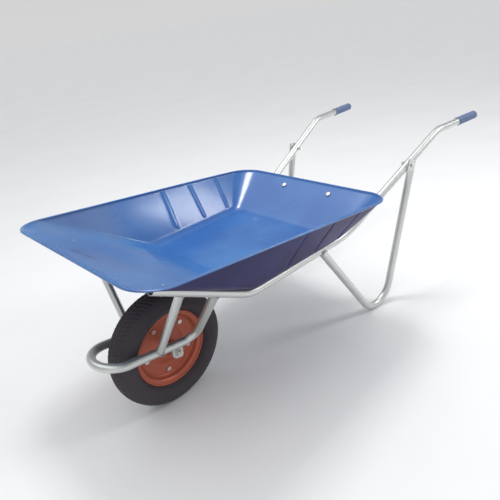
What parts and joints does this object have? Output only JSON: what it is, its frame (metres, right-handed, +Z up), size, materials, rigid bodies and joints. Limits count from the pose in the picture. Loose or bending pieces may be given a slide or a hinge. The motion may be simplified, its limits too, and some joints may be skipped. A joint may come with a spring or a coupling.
{
  "type": "wheelbarrow",
  "caption": "Single-wheel barrow with a shallow pressed tray on a bent-tube frame, V-shaped tube legs, a wheel guard loop and a pneumatic wheel.",
  "frame": {"origin": "on the floor under the centre of the bounding box", "axes": "+X from the wheel back to the handles, +Y to the user's right-hand side, +Z up; the XZ plane is the symmetry plane"},
  "size_m": [1.5716, 0.649, 0.5744],
  "materials": {
    "tray_paint": "glossy blue enamel",
    "galvanised_tube": "galvanised, semi-bright",
    "grip_plastic": "satin blue-grey plastic",
    "tyre_rubber": "matt black rubber, dusty",
    "black_rubber": "matt",
    "rim_paint": "satin red-orange paint",
    "valve_brass": "satin",
    "bearing_steel": "ground",
    "zinc_fastener": "zinc plated"
  },
  "bodies": {
    "frame": {"tray": "tray_paint", "main_tube_left": "galvanised_tube", "main_tube_right": "galvanised_tube", "front_cross_tube": "galvanised_tube", "rear_strap": "galvanised_tube", "tray_bolts": "zinc_fastener", "tray_washers": "zinc_fastener", "tray_nuts": "zinc_fastener", "leg_left": "galvanised_tube", "leg_right": "galvanised_tube", "leg_bolts": "zinc_fastener", "leg_nuts": "zinc_fastener", "grip_left": "grip_plastic", "grip_right": "grip_plastic", "wheel_guard": "galvanised_tube", "stay_left": "galvanised_tube", "stay_right": "galvanised_tube", "axle_bracket_left": "galvanised_tube", "axle_bracket_right": "galvanised_tube", "axle": "zinc_fastener", "axle_spacers": "zinc_fastener", "axle_washers": "zinc_fastener", "axle_nuts": "zinc_fastener", "bearing_inner_rings": "bearing_steel"},
    "wheel": {"bearing_outer_rings": "bearing_steel", "bearing_balls": "bearing_steel", "hub": "rim_paint", "rim_half_left": "rim_paint", "rim_half_right": "rim_paint", "rim_bolts": "zinc_fastener", "rim_nuts": "zinc_fastener", "tyre": "tyre_rubber", "inner_tube": "black_rubber", "valve_stem": "valve_brass", "valve_cap": "black_rubber"}
  },
  "joints": [
    {"name": "wheel_spin", "type": "hinge", "parent": "frame", "child": "wheel", "pos_m": [-0.55725, 0, 0.18], "axis": [0, 1, 0], "continuous": true}
  ]
}
